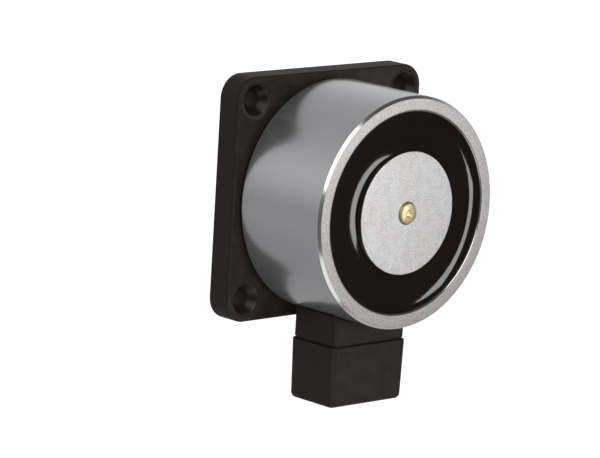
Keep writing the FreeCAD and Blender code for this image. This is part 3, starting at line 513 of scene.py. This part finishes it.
brass = turned_brass()
pin.data.materials.append(brass)
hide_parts("push_off_pin")
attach(pin, "pin")

# The spring is wound from drawn spring wire. It sits between the pin's collar and the
# slotted plug, and pushes the pin forward.
SPRING_TONES = (0.30, 0.30, 0.31), (0.46, 0.45, 0.44)


def drawn_steel():
    nodes = Nodes(bpy.data.materials.new("spring_wire"))
    scale = nodes.noise(0.6 * MM, 3.0)
    return nodes.finish(
        Base_Color=nodes.blend(scale, *SPRING_TONES),
        Metallic=1.0,
        Roughness=0.24 + 0.16 * scale,
        Normal=nodes.bump(scale, 0.006 * MM),
    )


dress(drawn_steel(), "push_off_spring")

# Two leads with PVC jackets leave the coil through a rubber bush. The bush, the seals and
# the grommet are moulded in the same black rubber, with a slight bloom on it.
RUBBER_TONES = (0.007, 0.006, 0.006), (0.018, 0.016, 0.015)
RED_TONES = (0.34, 0.018, 0.014), (0.42, 0.030, 0.022)
BLACK_TONES = (0.012, 0.012, 0.013), (0.022, 0.021, 0.021)


def rubber():
    nodes = Nodes(bpy.data.materials.new("black_rubber"))
    bloom = nodes.noise(1.2 * MM, 3.0)
    return nodes.finish(
        Base_Color=nodes.blend(bloom, *RUBBER_TONES),
        Roughness=0.62 + 0.2 * bloom,
        Specular_IOR_Level=0.3,
        Normal=nodes.bump(bloom, 0.03 * MM),
    )


def lead_jacket(name, tones):
    nodes = Nodes(bpy.data.materials.new(name))
    gloss = nodes.noise(2.0 * MM, 2.0)
    return nodes.finish(
        Base_Color=nodes.blend(gloss, *tones),
        Roughness=0.34 + 0.14 * gloss,
        Normal=nodes.bump(gloss, 0.02 * MM),
    )


dress(rubber(), "lead_bush", "saddle_gasket", "cap_seal", "cable_grommet")
dress(lead_jacket("red_pvc", RED_TONES), "coil_lead_left")
dress(lead_jacket("black_pvc", BLACK_TONES), "coil_lead_right")

# The wiring box is glass-filled nylon: a base that hugs the magnet and a tapered cap
# below it. Both were moulded standing up, so the flow marks run up and down.
# from the sides' dark tone to the front's paler tone, the paler one being painted light
BOX_TONES = (0.0145, 0.0088, 0.0076), (0.0470, 0.0345, 0.0300)
BOX_FLOW = (300.0, 300.0, 18.0)  # flow marks in a metre along X, Y and Z
BOX_FRONT = 30.9 * MM
box_plastic = moulded_black("box_plastic", BOX_TONES, BOX_FLOW, BOX_FRONT)
dress(box_plastic, "connector_base", "terminal_cap")

# The terminal block in the cap is moulded in natural polyamide and has brass clamps. One
# screw holds it in the box.
BLOCK_TONES = (0.66, 0.65, 0.60), (0.74, 0.73, 0.69)
dress(natural_nylon("block_polyamide", BLOCK_TONES), "terminal_block")
dress(brass, "terminal_clamp_left", "terminal_clamp_right")

# The camera stands a little above the middle of the magnet and to its left. Its place
# and its long lens were fitted to the outlines of the plate, the ring and the box.
VIEW_FROM = (-0.809960, -0.874736, 0.222999)
VIEW_RIGHT = (0.7410896, -0.6689487, 0.0573919)
VIEW_UP = (0.0885037, 0.1820660, 0.9792952)
VIEW_BACK = (-0.6655474, -0.7206661, 0.1941316)
bpy.context.scene.view_settings.view_transform = "Standard"
lens = bpy.data.cameras.new("camera")
lens.sensor_width = 36.0
lens.lens = 240.894
lens.clip_start = 0.05
lens.clip_end = 50.0
camera = bpy.data.objects.new("camera", lens)
bpy.context.scene.collection.objects.link(camera)
turn = Matrix((VIEW_RIGHT, VIEW_UP, VIEW_BACK)).transposed().to_4x4()
camera.matrix_world = Matrix.Translation(VIEW_FROM) @ turn
bpy.context.scene.camera = camera

# The floor is white paper a little way below the object. It is white to the camera, and to whatever
# mirrors it, it glows grey as painted light, with a painted shadow dimming that glow under the
# object.
FLOOR_LEVEL = -0.30
FLOOR_NEAR_Y = -0.12
FLOOR_SIZE = 10.0
FLOOR_MIDDLE_Y = FLOOR_NEAR_Y + FLOOR_SIZE / 2
PAPER_TONES = (0.64, 0.64, 0.64), (0.68, 0.68, 0.68)
BLACK, WHITE = (0.0, 0.0, 0.0), (1.0, 1.0, 1.0)
bpy.ops.object.select_all(action="DESELECT")
bpy.ops.mesh.primitive_plane_add(size=FLOOR_SIZE, location=(0.0, FLOOR_MIDDLE_Y, FLOOR_LEVEL))
floor = bpy.context.object
floor.name = "floor"


def white_paper():
    nodes = Nodes(bpy.data.materials.new("white_paper"))
    seen = nodes.add("ShaderNodeLightPath", {}, {}, "Is Camera Ray")
    mirrored = nodes.add("ShaderNodeLightPath", {}, {}, "Is Glossy Ray")
    tooth = nodes.noise(2.0 * MM, 3.0)
    aside, behind = nodes.axis("X"), nodes.axis("Y") + FLOOR_MIDDLE_Y
    # painted shadow: the grey glow that mirrors see is weakest near the object
    far = (aside * aside + behind * behind).step(0.05, 1.0)
    # painted light: the floor glows grey to mirrors, as well as white to the camera
    glow = seen * 0.90 + mirrored * (0.14 + 0.12 * far)
    return nodes.finish(
        Base_Color=nodes.blend(tooth, *PAPER_TONES),
        Roughness=0.9,
        Specular_IOR_Level=0.0,
        Emission_Color=nodes.blend(glow, BLACK, WHITE),
        Emission_Strength=1.0,
    )


floor.data.materials.append(white_paper())


# Three soft lamps: a narrow window that the face and the potting mirror, a broad lamp
# high on the left for the side and the plate, and a card below that lifts the shadows.
def soft_lamp(name, turn, rise, lean, away, size, level):
    """A soft lamp, so many degrees right of the wall's normal, above the horizon and leant."""
    turn, rise = math.radians(turn), math.radians(rise)
    towards = Vector((
        math.sin(turn) * math.cos(rise), -math.cos(turn) * math.cos(rise), math.sin(rise)
    ))
    lamp = bpy.data.lights.new(name, "AREA")
    lamp.shape = "RECTANGLE"
    lamp.size, lamp.size_y = size
    lamp.energy = level * math.pi * size[0] * size[1]
    stand = bpy.data.objects.new(name, lamp)
    bpy.context.scene.collection.objects.link(stand)
    facing = towards.to_track_quat("Z", "Y") @ Quaternion((0.0, 0.0, 1.0), math.radians(-lean))
    stand.location = towards * away
    stand.rotation_euler = facing.to_euler()


soft_lamp("window", turn=26.5, rise=-3.0, lean=9.0, away=0.60, size=(0.126, 0.266), level=6.9)
soft_lamp("left_lamp", turn=-28.0, rise=33.0, lean=28.0, away=1.3, size=(0.62, 1.20), level=2.4)
soft_lamp("low_card", turn=-40.0, rise=-48.0, lean=0.0, away=0.30, size=(0.28, 0.19), level=0.95)

# The room is white wherever the camera sees it. To everything else the wall behind the
# object is pale and darker towards the ceiling, and the side that the camera is on is dim.
room = Nodes(bpy.data.worlds.new("room"))
bpy.context.scene.world = room.owner
direction = room.add("ShaderNodeTexCoord", {}, {}, "Generated")
back = room.add("ShaderNodeSeparateXYZ", {}, {"Vector": direction}, "Y")
high = room.add("ShaderNodeSeparateXYZ", {}, {"Vector": direction}, "Z")
across = room.add("ShaderNodeSeparateXYZ", {}, {"Vector": direction}, "X")
straight = room.add("ShaderNodeLightPath", {}, {}, "Is Camera Ray")
through = room.add("ShaderNodeLightPath", {}, {}, "Is Transmission Ray")
seen = room.math("MAXIMUM", straight, through)
wall = 0.576 + 0.256 * high.step(-0.05, 0.30) - 0.336 * high.step(0.30, 0.80)
front = 0.096 + 0.04 * (-across).step(0.0, 0.4)
level = seen + (1.0 - seen) * (front + (wall - front) * back.step(-0.15, 0.40))
sky = room.add("ShaderNodeBackground", {}, {"Color": (*WHITE, 1.0), "Strength": level})
room.add("ShaderNodeOutputWorld", {}, {"Surface": sky})
